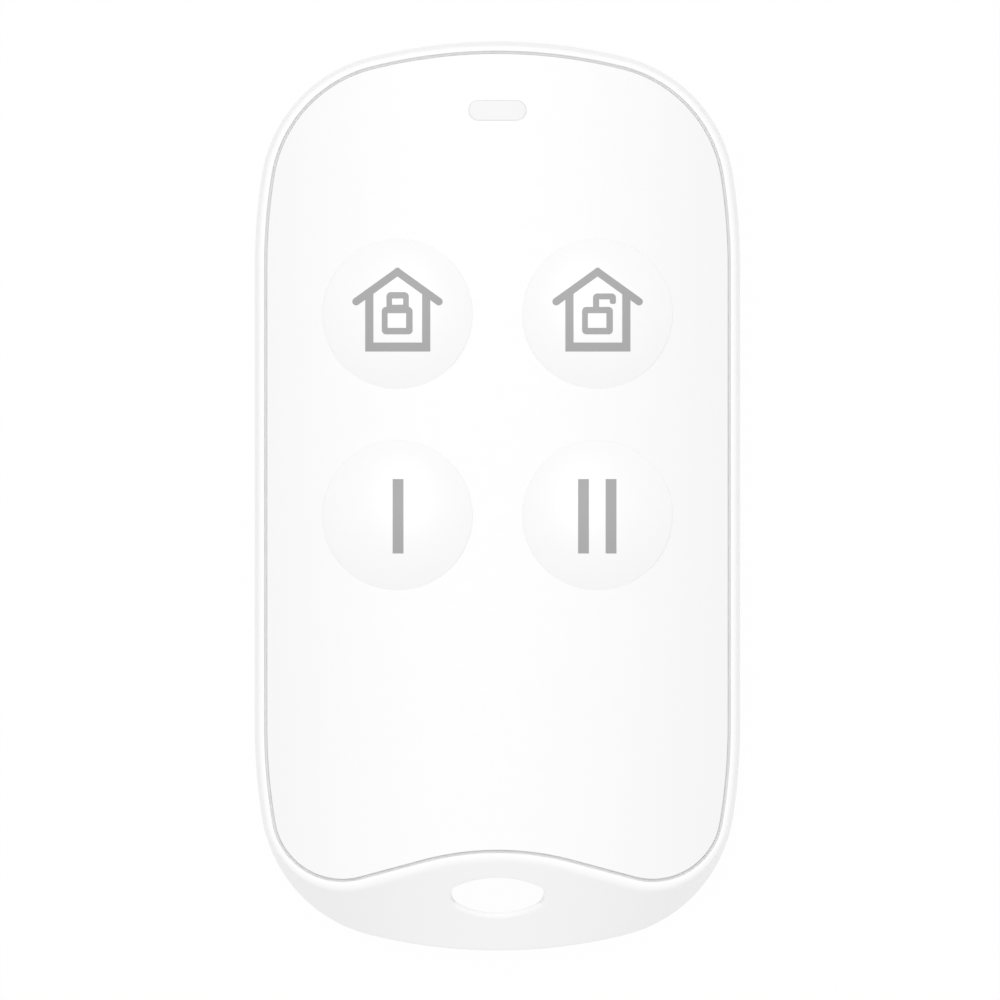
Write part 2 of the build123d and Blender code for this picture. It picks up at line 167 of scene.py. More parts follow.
# Crossed recess in the screws' heads, wider at its mouth than at its floor
cross_reach = 0.95
cross_half_width = 0.22
cross_floor = 0.85
cross_floor_share = 0.62
cross_mouth = -0.3
cross_mouth_share = 1.3

# Printed symbols: bars of the numerals
ink_height = 0.012
ink_reach_share = 0.98
print_tool_rise = 3.0
numeral_one_x = -7.11
numeral_two_x = (6.15, 8.12)
bar_half_width = 0.385
bar_bottom_y = -4.11
bar_top_y = 1.21

# Printed symbols: house with its roof strokes, walls and floor line
house_left_x = -7.13
house_right_x = 7.18
roof_shift = -0.02
roof_stroke = 0.27
roof_reach = 2.96
roof_apex_y = 16.03
roof_eave_y = 13.9
roof_cap_y = 16.09
roof_cap_radius = 0.24
house_wall_x = 2.035
house_wall_half_width = 0.29
house_wall_join_x = 2.06
house_bottom_y = 10.33
house_floor_y = 10.97
house_floor_reach = 2.325

# Printed symbols: body of the padlock, with its hole as left, bottom, right and top
lock_left_x = -7.17
lock_right_x = 7.15
lock_reach = 1.1
lock_bottom_y = 11.56
lock_top_y = 13.52
lock_round = 0.3
lock_hole = (-0.69, 12.02, 0.64, 13.07)

# Cutting tools go past what they cut by the overrun
overrun = 1.0

# Shading: points this near to the crown get its exact normals, and sharper turns stay edges
crown_tolerance = 0.003
sharp_angle = radians(28)

half_length = fob_length / 2
half_width = fob_width / 2
crown_axis_z = crown_height - crown_radius
crest_y = chin_length - half_length
panel_inset = groove_inset + groove_width / 2
recess_inset = groove_inset - groove_width / 2
lip_inset = side_wall - lip_thickness
recess_drop = panel_thickness + adhesive_gap
dome_radius = (key_radius**2 + dome_rise**2) / (2 * dome_rise)
eye_y = -half_length + eye_bar + eye_lower_rise
window_y = half_length - window_from_end
post_places = [(side * post_x, y) for side in (-1, 1) for y in post_rows_y]
screw_places = [(-screw_x, screw_y), (screw_x, screw_y)]
key_places = {
    "arm": (-key_pitch_x / 2, key_rows_middle + key_pitch_y / 2),
    "disarm": (key_pitch_x / 2, key_rows_middle + key_pitch_y / 2),
    "one": (-key_pitch_x / 2, key_rows_middle - key_pitch_y / 2),
    "two": (key_pitch_x / 2, key_rows_middle - key_pitch_y / 2),
}

# Turns of the outline's arcs, from the radii, as in the part's source
end_step = half_width - corner_radius * cos(easing_angle) - easing_radius * (1 - cos(easing_angle))
end_angle = asin(end_step / (end_radius - corner_radius))
corner_angle = pi / 2 - easing_angle - end_angle
side_end_y = (
    half_length
    - end_radius
    + (end_radius - corner_radius) * cos(end_angle)
    - (easing_radius - corner_radius) * sin(easing_angle)
)
lobe_angle = flank_angle + pi / 2 - lobe_easing_angle

# Stations along each stretch of the outline, from the lamp end's middle to the chin's middle
END_STEPS = 26
CORNER_STEPS = 36
EASING_STEPS = 8
SIDE_STEPS = 24
LOBE_STEPS = 44
FLANK_STEPS = 14
CREST_STEPS = 22

# Rows of the shells, and stations of the smaller outlines
SIDE_ROWS = 30
FILLET_STEPS = 8
BACK_STEPS = 12
ROUND_STEPS = 4
CAP_STEPS = 14
WINDOW_CAP_STEPS = 10
CIRCLE_STEPS = 192
SCREW_STEPS = 96
BOSS_STEPS = 64
POST_STEPS = 48
RIB_STEPS = 64
DOME_STEPS = 24
NIB_STEPS = 4
EYE_STEPS = 20
EYE_EDGE_ROWS = 7
THREAD_STEPS = 150
THREAD_START_STEPS = 8
THREAD_END_STEPS = 20
STROKE_STEPS = 48
PRINT_CORNER_STEPS = 12
INK_STEPS = 40

# Passes that bring the rim's edge onto the crown
EDGE_PASSES = 6


class Pen:
    """Draws tangent arcs and lines as points in the plane."""

    def __init__(self, x, y, heading):
        self.x, self.y, self.heading = x, y, heading
        self.points = [(x, y)]

    def arc(self, radius, turn, steps):
        """Turns by an angle, positive to the left, on an arc of the radius."""
        side = 1 if turn > 0 else -1
        centre_x = self.x - side * radius * sin(self.heading)
        centre_y = self.y + side * radius * cos(self.heading)
        for step in range(1, steps + 1):
            heading = self.heading + turn * step / steps
            x = centre_x + side * radius * sin(heading)
            y = centre_y - side * radius * cos(heading)
            self.points.append((x, y))
        self.heading += turn
        self.x, self.y = self.points[-1]

    def line(self, length, steps):
        """Goes straight on by a length."""
        start_x, start_y = self.x, self.y
        for step in range(1, steps + 1):
            reach = length * step / steps
            x = start_x + reach * cos(self.heading)
            y = start_y + reach * sin(self.heading)
            self.points.append((x, y))
        self.x, self.y = self.points[-1]


def flank_and_lobe(inset, reach):
    """Flank length and lobe radius that join the wave's crest to the side's easing arc."""
    crest = crest_radius - reach
    easing = easing_radius - inset
    x = half_width - easing_radius + easing * cos(lobe_easing_angle) - crest * sin(flank_angle)
    crest_end_y = crest_y - reach - crest * (1 - cos(flank_angle))
    y = -crest_end_y - side_end_y - easing * sin(lobe_easing_angle)
    x_share = cos(lobe_easing_angle) + sin(flank_angle)
    y_share = cos(flank_angle) - sin(lobe_easing_angle)
    share = cos(flank_angle) * y_share + sin(flank_angle) * x_share
    flank_length = (x * y_share - y * x_share) / share
    lobe_radius = (y * cos(flank_angle) + x * sin(flank_angle)) / share
    return flank_length, lobe_radius


def draw_lamp_end(pen, inset, last_angle):
    """Lamp end's right half, right side and the easing arc at its end."""
    pen.arc(end_radius - inset, -end_angle, END_STEPS)
    pen.arc(corner_radius - inset, -corner_angle, CORNER_STEPS)
    pen.arc(easing_radius - inset, -easing_angle, EASING_STEPS)
    pen.line(2 * side_end_y, SIDE_STEPS)
    pen.arc(easing_radius - inset, -last_angle, EASING_STEPS)


def both_sides(right):
    """Closed ring from the stations of its right half."""
    left = right[-2:0:-1] * np.array([-1, 1])
    return np.vstack([right, left])


def wave_ring(inset, reach):
    """Stations of the front: sides at the inset, and the wave past the groove's by the reach."""
    flank_length, lobe_radius = flank_and_lobe(inset, reach)
    pen = Pen(0, half_length - inset, 0)
    draw_lamp_end(pen, inset, lobe_easing_angle)
    pen.arc(lobe_radius, -lobe_angle, LOBE_STEPS)
    pen.line(flank_length, FLANK_STEPS)
    pen.arc(crest_radius - reach, flank_angle, CREST_STEPS)
    return both_sides(np.array(pen.points))


def front_ring(inset):
    """Stations of the front's outline that follow the groove all round."""
    return wave_ring(inset, groove_inset - inset)


def base_ring(inset):
    """Stations of the silhouette, one for each station of the front's outline."""
    pen = Pen(0, half_length - inset, 0)
    draw_lamp_end(pen, inset, easing_angle)
    pen.arc(corner_radius - inset, -corner_angle, LOBE_STEPS)
    right = np.array(pen.points)
    last = len(right) - 1
    rim = wave_ring(rim_inset, chin_rim_reach)
    wave_x_stations = rim[last : last + 1 + FLANK_STEPS + CREST_STEPS, 0]
    x = wave_x_stations[1:] * right[-1, 0] / wave_x_stations[0]
    y = end_radius - half_length - np.sqrt((end_radius - inset) ** 2 - x**2)
    return both_sides(np.vstack([right, np.column_stack([x, y])]))


def crown_z(x):
    """Height of the crowned front at a distance from the middle line."""
    return crown_axis_z + np.sqrt(crown_radius**2 - np.asarray(x, float) ** 2)


def at_height(ring, height):
    """Plane stations lifted to one height, or to a height for each."""
    ring = np.asarray(ring, float)
    return np.column_stack([ring, np.broadcast_to(height, len(ring))])


def on_crown(ring, drop):
    """Plane stations lifted to the crowned front, or a drop below it."""
    return at_height(ring, crown_z(ring[:, 0]) - drop)


def unit(vectors):
    """Vectors brought to a length of one."""
    return vectors / np.linalg.norm(vectors, axis=1)[:, None]


def dot(a, b):
    """Dot products row by row."""
    return np.sum(a * b, axis=1)


def quarter_round(radius, steps=ROUND_STEPS):
    """Pairs of distances to the two faces of a quarter round, which starts on the second one."""
    angles = [pi / 2 * step / steps for step in range(steps + 1)]
    return [(radius * (1 - sin(angle)), radius * (1 - cos(angle))) for angle in angles]


def mesh_object(name, verts, faces):
    """New object from points in millimetres, with its faces turned outwards."""
    mesh = bpy.data.meshes.new(name)
    mesh.from_pydata((np.asarray(verts, float) * MM).tolist(), [], faces)
    bm = bmesh.new()
    bm.from_mesh(mesh)
    bmesh.ops.recalc_face_normals(bm, faces=bm.faces)
    bm.to_mesh(mesh)
    bm.free()
    obj = bpy.data.objects.new(name, mesh)
    bpy.context.scene.collection.objects.link(obj)
    return obj


def ring_solid(name, rings, bottom, top):
    """Closed solid through rings of equal length, ended by a middle point at each end."""
    count = len(rings[0])
    verts = np.vstack(list(rings) + [np.array([bottom, top], float)])
    bottom_index = len(verts) - 2
    last = (len(rings) - 1) * count
    faces = []
    for i in range(count):
        j = (i + 1) % count
        for low in range(0, last, count):
            faces.append((low + i, low + j, low + count + j, low + count + i))
        faces.append((bottom_index, j, i))
        faces.append((bottom_index + 1, last + i, last + j))
    return mesh_object(name, verts, faces)


def prism(outline, low, high):
    """Closed solid with straight walls over a closed outline of plane points."""
    count = len(outline)
    verts = np.vstack([at_height(outline, low), at_height(outline, high)])
    faces = [tuple(range(count)), tuple(range(count, 2 * count))]
    faces += [(i, (i + 1) % count, count + (i + 1) % count, count + i) for i in range(count)]
    return mesh_object("tool", verts, faces)


def circle(x, y, radius, steps=CIRCLE_STEPS):
    """Points round a place, at one radius or at a radius for each."""
    turns = 2 * pi * np.arange(steps) / steps
    return np.column_stack([x + radius * np.cos(turns), y + radius * np.sin(turns)])


def rectangle(x0, y0, x1, y1):
    """Four corners, anticlockwise from the lower left one."""
    return np.array([(x0, y0), (x1, y0), (x1, y1), (x0, y1)], float)


def rounded_rectangle(x0, y0, x1, y1, radius):
    """Rectangle with round corners."""
    points = []
    corners = ((x1 - radius, y1 - radius, 0), (x0 + radius, y1 - radius, 1))
    corners += ((x0 + radius, y0 + radius, 2), (x1 - radius, y0 + radius, 3))
    for x, y, quarter in corners:
        for i in range(PRINT_CORNER_STEPS + 1):
            angle = pi / 2 * (quarter + i / PRINT_CORNER_STEPS)
            points.append((x + radius * cos(angle), y + radius * sin(angle)))
    return np.array(points)


def capsule(start, end, radius):
    """Outline of a straight stroke with round ends."""
    heading = atan2(end[1] - start[1], end[0] - start[0])
    points = []
    for (x, y), first in ((end, heading - pi / 2), (start, heading + pi / 2)):
        for i in range(STROKE_STEPS + 1):
            angle = first + pi * i / STROKE_STEPS
            points.append((x + radius * cos(angle), y + radius * sin(angle)))
    return np.array(points)


def eye_side(rise, end_radius):
    """Radius and angle of the flat arc of half the eye, which a tight arc takes on to its end."""
    end_x = eye_length / 2 - end_radius
    radius = (end_x**2 + rise**2 - end_radius**2) / (2 * (rise - end_radius))
    return radius, atan2(end_x, radius - rise)


def eye_ring(growth):
    """Oval of the key-ring eye, grown outwards: a flatter half above, a deeper half below."""
    upper_radius, upper_angle = eye_side(eye_upper_rise, eye_upper_end_radius)
    lower_radius, lower_angle = eye_side(eye_lower_rise, eye_lower_end_radius)
    pen = Pen(0, eye_y + eye_upper_rise + growth, 0)
    pen.arc(upper_radius + growth, -upper_angle, EYE_STEPS)
    pen.arc(eye_upper_end_radius + growth, upper_angle - pi / 2, EYE_STEPS)
    pen.arc(eye_lower_end_radius + growth, lower_angle - pi / 2, EYE_STEPS)
    pen.arc(lower_radius + growth, -lower_angle, EYE_STEPS)
    return both_sides(np.array(pen.points))


def window_outline(growth):
    """Pill of the lamp window, grown outwards."""
    reach = (window_length - window_width) / 2
    return capsule((-reach, window_y), (reach, window_y), window_width / 2 + growth)


def hook_outline(inset, width):
    """Strip from the fob's middle to the front's outline at the lamp end."""
    ring = front_ring(inset)
    top = ring[(np.abs(ring[:, 0]) < width / 2) & (ring[:, 1] > 0)]
    top = top[np.argsort(top[:, 0])]
    ends_y = np.interp([-width / 2, width / 2], top[:, 0], top[:, 1])
    inner = [(-width / 2, 0), (width / 2, 0), (width / 2, ends_y[1])]
    return np.vstack([inner, top[::-1], [(-width / 2, ends_y[0])]])


def combine(obj, operation, tools):
    """Cuts the tools from the object, joins them to it or keeps what lies in them, and deletes
    the tools."""
    for tool in tools:
        modifier = obj.modifiers.new("tool", "BOOLEAN")
        modifier.object = tool
        modifier.operation = operation
        modifier.solver = "MANIFOLD"
        graph = bpy.context.evaluated_depsgraph_get()
        mesh = bpy.data.meshes.new_from_object(obj.evaluated_get(graph))
        obj.modifiers.clear()
        obj.data = mesh
        bpy.data.objects.remove(tool)
    return obj


def smooth(obj):
    """Smooth shading, with sharp edges where the surface turns by more than the limit."""
    obj.data.shade_smooth()
    obj.data.set_sharp_from_angle(angle=sharp_angle)


def crown_normals(obj):
    """Exact normals on the crowned front, which the cut faces would only approach."""
    mesh = obj.data
    axis = np.array([0, crown_axis_z]) * MM
    points = np.zeros(len(mesh.vertices) * 3)
    mesh.vertices.foreach_get("co", points)
    points = points.reshape(-1, 3)
    across = points[:, [0, 2]] - axis
    off_front = np.abs(np.linalg.norm(across, axis=1) - crown_radius * MM)
    on_front = off_front < crown_tolerance * MM
    normals = np.zeros((len(mesh.loops), 3))
    for polygon in mesh.polygons:
        if on_front[list(polygon.vertices)].all():
            for loop, vertex in zip(polygon.loop_indices, polygon.vertices):
                normals[loop] = (across[vertex, 0], 0, across[vertex, 1])
    length = np.linalg.norm(normals, axis=1)
    normals[length > 0] /= length[length > 0][:, None]
    mesh.normals_split_custom_set(normals.tolist())


def rounded_rows(inset, side):
    """Rings over the small quarter round from the crowned front to a groove wall at the inset."""
    return [
        on_crown(front_ring(inset + side * away), drop)
        for away, drop in quarter_round(edge_softness)
    ]


def fillet_rows(edge, upper_normal, side_normal, ruling, reach):
    """Rings over the round between the crowned front and the outer side, which starts at the
    reach to either side of the edge, from the side up."""
    cosine = dot(upper_normal, side_normal)
    turn = np.arccos(cosine)
    along = unit(np.roll(edge, -1, axis=0) - np.roll(edge, 1, axis=0))
    radius = (reach / np.tan(turn / 2))[:, None]
    centre = edge - radius * (upper_normal + side_normal) / (1 + cosine)[:, None]
    fall = centre + radius * side_normal - edge
    down = unit(-ruling)
    on_ruling = edge + down * (reach / dot(down, unit(fall)))[:, None]
    slide = along * dot(on_ruling - edge - fall, along)[:, None]
    rows = []
    for step in range(FILLET_STEPS + 1):
        share = step / FILLET_STEPS
        side_share = (np.sin((1 - share) * turn) / np.sin(turn))[:, None]
        upper_share = (np.sin(share * turn) / np.sin(turn))[:, None]
        normal = side_share * side_normal + upper_share * upper_normal
        rows.append(centre + radius * normal + (1 - share) * slide)
    return rows


def housing_rows():
    """Outer side, rim, groove wall and recess of the front housing, from the parting line up."""
    base = at_height(base_ring(0), parting_height)
    ruling = at_height(wave_ring(rim_inset, chin_rim_reach), crown_height + rim_trim) - base
    share = np.ones(len(base))
    for _ in range(EDGE_PASSES):
        share = (crown_z(base[:, 0] + share * ruling[:, 0]) - parting_height) / ruling[:, 2]
    edge = base + share[:, None] * ruling
    upper_normal = unit(np.column_stack([edge[:, 0], 0 * edge[:, 0], edge[:, 2] - crown_axis_z]))
    along = np.roll(edge, -1, axis=0) - np.roll(edge, 1, axis=0)
    side_normal = unit(np.cross(ruling, along))
    rim_width = np.linalg.norm(edge[:, :2] - front_ring(recess_inset), axis=1)
    fillet = fillet_rows(edge, upper_normal, side_normal, ruling, rim_round_share * rim_width)

    broken = base + ruling * (parting_break / ruling[:, 2])[:, None]
    rows = [at_height(base_ring(parting_break), parting_height), broken]
    rows += [broken + (fillet[0] - broken) * row / SIDE_ROWS for row in range(1, SIDE_ROWS)]
    rows += fillet
    rows += rounded_rows(recess_inset, -1)
    seat = front_ring(panel_inset - seat_gap)
    rows.append(on_crown(front_ring(recess_inset), groove_depth))
    rows.append(on_crown(seat, groove_depth))
    rows += [on_crown(seat * (1 - step / CAP_STEPS), recess_drop) for step in range(CAP_STEPS)]
    return rows


def eye_cutter(shell):
    """Tool for the eye through the chin, flared at the top for its softened edge."""
    tree = BVHTree.FromPolygons(
        [v.co for v in shell.data.vertices], [tuple(p.vertices) for p in shell.data.polygons]
    )
    ring = eye_ring(0)
    edge = np.zeros((len(ring), 3))
    surface = np.zeros((len(ring), 3))
    for i, (x, y) in enumerate(ring):
        start = Vector((x, y, 2 * crown_height)) * MM
        place, normal, _, _ = tree.ray_cast(start, Vector((0, 0, -1)))
        edge[i] = place / MM
        surface[i] = normal
    outward = unit(at_height(eye_ring(1) - ring, 0))
    wall = -outward
    cosine = dot(surface, wall)
    turn = np.arccos(cosine)
    centre = edge - eye_edge_radius * (surface + wall) / (1 + cosine)[:, None]
    rounds = []
    start_share = np.clip(eye_edge_first_angle / turn, *eye_edge_start_shares)
    for share in np.linspace(start_share, eye_edge_end_share, EYE_EDGE_ROWS):
        wall_share = (np.sin((1 - share) * turn) / np.sin(turn))[:, None]
        surface_share = (np.sin(share * turn) / np.sin(turn))[:, None]
        rounds.append(centre + eye_edge_radius * (wall_share * wall + surface_share * surface))
    slide = outward * dot(edge - rounds[0], outward)[:, None]
    slide[:, 2] = -dot(slide, surface) / surface[:, 2]
    low = parting_height - overrun
    rows = [at_height(ring, low)] + [points + slide for points in rounds]
    run = unit(rows[-1] - rows[-2])
    rows.append(rows[-1] + eye_tool_flare * run + eye_tool_lift * surface)
    rows.append(rows[-1] + np.array([0, 0, eye_tool_rise]))
    middle = rows[-1].mean(axis=0)
    return ring_solid("tool", rows, (0, eye_y, low), tuple(middle))


def make_housing():
    """Front housing: rim, sloping chin with the eye, side walls and the wall under the panel."""
    closing = base_ring(parting_break)
    rows = [at_height(closing * step / CAP_STEPS, parting_height) for step in range(1, CAP_STEPS)]
    rows += housing_rows()
    shell = ring_solid(
        "housing_shell", rows, (0, 0, parting_height), (0, 0, crown_height - recess_drop)
    )
    eye = eye_cutter(shell)
    below = parting_height - overrun
    lip_slot = front_ring(lip_inset - lip_clearance)
    hook_slot = hook_outline(
        lip_inset - hook_reach - hook_clearance, hook_width + 2 * hook_clearance
    )
    hook_top = parting_height + lip_height + hook_thickness + hook_clearance
    cavity = [
        prism(front_ring(side_wall), below, ceiling_height),
        prism(lip_slot, below, parting_height + lip_height + lip_clearance),
        prism(hook_slot, below, hook_top),
    ]
    combine(shell, "DIFFERENCE", cavity)
    support_top = ceiling_height + wall_overlap
    supports = [
        prism(circle(x, y, boss_radius, BOSS_STEPS), parting_height + boss_gap, support_top)
        for x, y in screw_places
    ]
    supports += [
        prism(circle(x, y, post_radius, POST_STEPS), board_top, support_top)
        for x, y in post_places
    ]
    combine(shell, "UNION", supports)
    holes = [
        prism(circle(x, y, screw_hole_radius, POST_STEPS), below, ceiling_height - boss_gap)
        for x, y in screw_places
    ]
    holes += [
        prism(circle(x, y, key_radius + key_wall_gap), ceiling_height - overrun, crown_height)
        for x, y in key_places.values()
    ]
    holes.append(prism(window_outline(window_seam), ceiling_height - overrun, crown_height))
    combine(shell, "DIFFERENCE", holes + [eye])
    return shell


def make_panel():
    """Inlaid front panel: crowned plate with softened edge, round key holes and window slot."""
    outline = front_ring(panel_inset)
    rows = [
        on_crown(outline * step / CAP_STEPS, panel_thickness) for step in range(1, CAP_STEPS + 1)
    ]
    rows += rounded_rows(panel_inset, 1)[::-1]
    inner = front_ring(panel_inset + edge_softness)
    rows += [on_crown(inner * (1 - step / DOME_STEPS), 0) for step in range(1, DOME_STEPS)]
    panel = ring_solid(
        "panel_plate", rows, (0, 0, crown_height - panel_thickness), (0, 0, crown_height)
    )
    low = crown_height - 2 * panel_thickness - overrun
    high = crown_height + overrun
    holes = [
        prism(circle(x, y, key_radius + key_seam), low, high) for x, y in key_places.values()
    ]
    holes.append(prism(window_outline(window_seam), low, high))
    combine(panel, "DIFFERENCE", holes)
    return panel


def make_window():
    """Lamp window: light guide with a flange behind the housing's front wall."""
    flange = window_outline(window_flange_reach)
    body = window_outline(0)
    top = window_outline(-window_softness)
    middle = np.array([0, window_y])

    def about_middle(ring, share):
        return middle + (ring - middle) * share

    rows = [at_height(about_middle(body, share), window_bottom) for share in window_bottom_shares]
    rows += [at_height(body, window_flange_bottom), at_height(flange, window_flange_bottom)]
    rows += [at_height(flange, ceiling_height), at_height(body, ceiling_height)]
    rows += [
        on_crown(window_outline(-inset), drop) for drop, inset in quarter_round(window_softness)
    ]
    rows += [
        on_crown(about_middle(top, 1 - step / WINDOW_CAP_STEPS), 0)
        for step in range(1, WINDOW_CAP_STEPS)
    ]
    return ring_solid(
        "window_lens", rows, (0, window_y, window_bottom), (0, window_y, crown_height)
    )


def dome_ring(x, y, radius, growth=0.0):
    """Circle on the dome of the key at a place, which leans with the crown, or on a grown dome."""
    tilt = asin(x / crown_radius)
    depth = dome_radius - dome_rise
    ball = np.array([x - depth * sin(tilt), y, float(crown_z(x)) - depth * cos(tilt)])
    ring = circle(x, y, radius)
    away = np.sum((ring - ball[:2]) ** 2, axis=1)
    return at_height(ring, ball[2] + np.sqrt((dome_radius + growth) ** 2 - away))


def make_keycap(name, x, y):
    """Domed cap with its flange, hollow skirt and the nib that rests on the switch."""

    def level(radius, height):
        return at_height(circle(x, y, radius), height)

    hollow_radius = key_radius - key_skirt
    hollow_top = float(crown_z(x)) - key_shoulder
    rows = [level(nib_radius * step / NIB_STEPS, nib_bottom) for step in range(1, NIB_STEPS + 1)]
    rows += [level(nib_radius, hollow_top), level(hollow_radius, hollow_top)]
    rows += [level(hollow_radius, flange_bottom), level(flange_radius, flange_bottom)]
    rows += [level(flange_radius, flange_top), level(key_radius, flange_top)]
    rows += [
        dome_ring(x, y, key_radius * cos(pi / 2 * step / DOME_STEPS)) for step in range(DOME_STEPS)
    ]
    return ring_solid(name, rows, (x, y, nib_bottom), (x, y, float(dome_ring(x, y, 0)[0, 2])))


def make_cover():
    """Rear cover: tray with a rounded back edge, lip, hook, rib, posts and screw pillars."""
    closing = base_ring(back_edge_radius)
    rows = [at_height(closing * step / CAP_STEPS, 0) for step in range(1, CAP_STEPS)]
    rows += [
        at_height(base_ring(inset), height)
        for inset, height in quarter_round(back_edge_radius, BACK_STEPS)
    ]
    rows.append(at_height(base_ring(0), parting_height - parting_break))
    rows.append(at_height(base_ring(parting_break), parting_height))
    lip = front_ring(lip_inset)
    lip_top = parting_height + lip_height
    rows.append(at_height(lip, parting_height))
    rows += [at_height(lip * (1 - step / CAP_STEPS), lip_top) for step in range(CAP_STEPS)]
    cover = ring_solid("cover_shell", rows, (0, 0, 0), (0, 0, lip_top))
    hook = hook_outline(lip_inset - hook_reach, hook_width)
    combine(cover, "UNION", [prism(hook, lip_top - wall_overlap, lip_top + hook_thickness)])
    combine(cover, "DIFFERENCE", [prism(front_ring(side_wall), floor_thickness, crown_height)])
    sunk = floor_thickness - wall_overlap
    supports = [
        prism(circle(x, y, post_radius, POST_STEPS), sunk, board_height) for x, y in post_places
    ]
    supports += [
        prism(circle(x, y, boss_radius, BOSS_STEPS), sunk, parting_height)
        for x, y in screw_places
    ]
    combine(cover, "UNION", supports + make_ribs(sunk))
    eye_top = parting_height + overrun
    eye_rows = [at_height(eye_ring(eye_back_radius), -overrun)]
    eye_rows += [
        at_height(eye_ring(growth), height) for growth, height in quarter_round(eye_back_radius)
    ]
    eye_rows.append(at_height(eye_ring(0), eye_top))
    eye = ring_solid("tool", eye_rows, (0, eye_y, -overrun), (0, eye_y, eye_top))
    holes = [sink_tool(x, y) for x, y in screw_places]
    combine(cover, "DIFFERENCE", holes + [eye])
    return cover


def make_ribs(low):
    """Two halves of the round rib that locates the cell, apart where the clip passes."""
    ribs = []
    for side in (-1, 1):
        points = []
        for radius, order in ((rib_outer_radius, 1), (rib_inner_radius, -1)):
            first = asin(rib_gap_width / 2 / radius)
            turns = np.linspace(first, pi - first, RIB_STEPS + 1)[::order]
            y = cell_place_y + side * radius * np.sin(turns)
            points.append(np.column_stack([radius * np.cos(turns), y]))
        ribs.append(prism(np.vstack(points), low, floor_thickness + rib_height))
    return ribs


def sink_tool(x, y):
    """Countersunk hole for one screw, seen from the back."""
    top = parting_height + overrun
    profile = [
        (screw_sink_radius + overrun, -overrun),
        (screw_sink_radius, 0),
        (screw_hole_radius, screw_sink_radius - screw_hole_radius),
        (screw_hole_radius, top),
    ]
    rows = [at_height(circle(x, y, radius, SCREW_STEPS), height) for radius, height in profile]
    return ring_solid("tool", rows, (x, y, -overrun), (x, y, top))


def make_screw(name, x, y):
    """Countersunk screw: softened head with a tapered crossed recess, and a rolled thread."""
    turns = 2 * pi * np.arange(SCREW_STEPS) / SCREW_STEPS
    neck = screw_head_sink + screw_head_radius - screw_thread_radius
    tip = screw_length + screw_head_sink
    profile = [(radius, screw_head_sink) for radius in screw_face_radii]
    profile += [
        (screw_head_radius - inset, screw_head_sink + rise) for inset, rise in screw_head_round
    ]
    profile.append((screw_thread_radius, neck + thread_start))
    for step in range(1, THREAD_STEPS + 1):
        climb = (screw_length - neck - thread_end) * step / THREAD_STEPS
        height = neck + thread_start + climb
        wave = (turns / (2 * pi) + height / thread_pitch) % 1
        crest = np.clip(thread_steepness * (1 - np.abs(2 * wave - 1)) - thread_root, 0, 1)
        taper = min(1, (THREAD_STEPS - step) / THREAD_END_STEPS) * min(1, step / THREAD_START_STEPS)
        radius = screw_core_radius + (screw_thread_radius - screw_core_radius) * crest * taper
        profile.append((radius, height))
    profile.append((screw_core_radius * screw_tip_share, tip - screw_tip_ring_gap))
    rows = [at_height(circle(x, y, radius, SCREW_STEPS), height) for radius, height in profile]
    screw = ring_solid(name, rows, (x, y, screw_head_sink), (x, y, tip - screw_tip_point_gap))
    recess = [
        cross_arm(x, y, cross_reach, cross_half_width),
        cross_arm(x, y, cross_half_width, cross_reach),
    ]
    return combine(screw, "DIFFERENCE", recess)


def cross_arm(x, y, along, across):
    """Tool for one arm of the crossed recess, from its mouth to its floor."""
    corners = rectangle(-along, -across, along, across)
    levels = (
        (corners * cross_mouth_share, cross_mouth),
        (corners, screw_head_sink),
        (corners * cross_floor_share, cross_floor),
    )
    verts = [(x + cx, y + cy, z) for ring, z in levels for cx, cy in ring]
    faces = [(0, 1, 2, 3), (8, 9, 10, 11)]
    faces += [
        (low + i, low + (i + 1) % 4, low + 4 + (i + 1) % 4, low + 4 + i)
        for low in (0, 4)
        for i in range(4)
    ]
    return mesh_object("tool", verts, faces)


# Printed symbols on the keys
def print_tool(outlines, holes):
    """Printed shape: upright walls over the outlines, less the holes."""
    low = crown_height - overrun
    high = crown_height + print_tool_rise
    body = prism(outlines[0], low, high)
    combine(body, "UNION", [prism(outline, low, high) for outline in outlines[1:]])
    combine(body, "DIFFERENCE", [prism(hole, low - overrun, high + overrun) for hole in holes])
    return body


def bar(x):
    """Upright bar of a numeral."""
    return rectangle(x - bar_half_width, bar_bottom_y, x + bar_half_width, bar_top_y)


def house(x):
    """Roof, walls and floor line of the house symbol, about its middle line."""
    apex_x = x + roof_shift
    outlines = [
        capsule((apex_x, roof_apex_y), (apex_x + side * roof_reach, roof_eave_y), roof_stroke)
        for side in (-1, 1)
    ]
    outlines.append(circle(apex_x, roof_cap_y, roof_cap_radius, POST_STEPS))
    roof_fall = roof_apex_y - roof_eave_y
    wall_top = roof_apex_y - house_wall_join_x * roof_fall / roof_reach
    for wall_x in (x - house_wall_x, x + house_wall_x):
        left, right = wall_x - house_wall_half_width, wall_x + house_wall_half_width
        outlines.append(rectangle(left, house_bottom_y, right, wall_top))
    outlines.append(
        rectangle(x - house_floor_reach, house_bottom_y, x + house_floor_reach, house_floor_y)
    )
    return outlines


def closed_shackle(x, top):
    """Outlines and holes of a bow that stands in the padlock's body with both legs."""
    reach, foot, rounding = 0.8, 13.0, 0.32
    hole_reach, hole_bottom, hole_drop = 0.4, 13.68, 0.46
    bow = rounded_rectangle(x - reach, foot, x + reach, top, rounding)
    hole = rectangle(x - hole_reach, hole_bottom, x + hole_reach, top - hole_drop)
    return [bow], [hole]


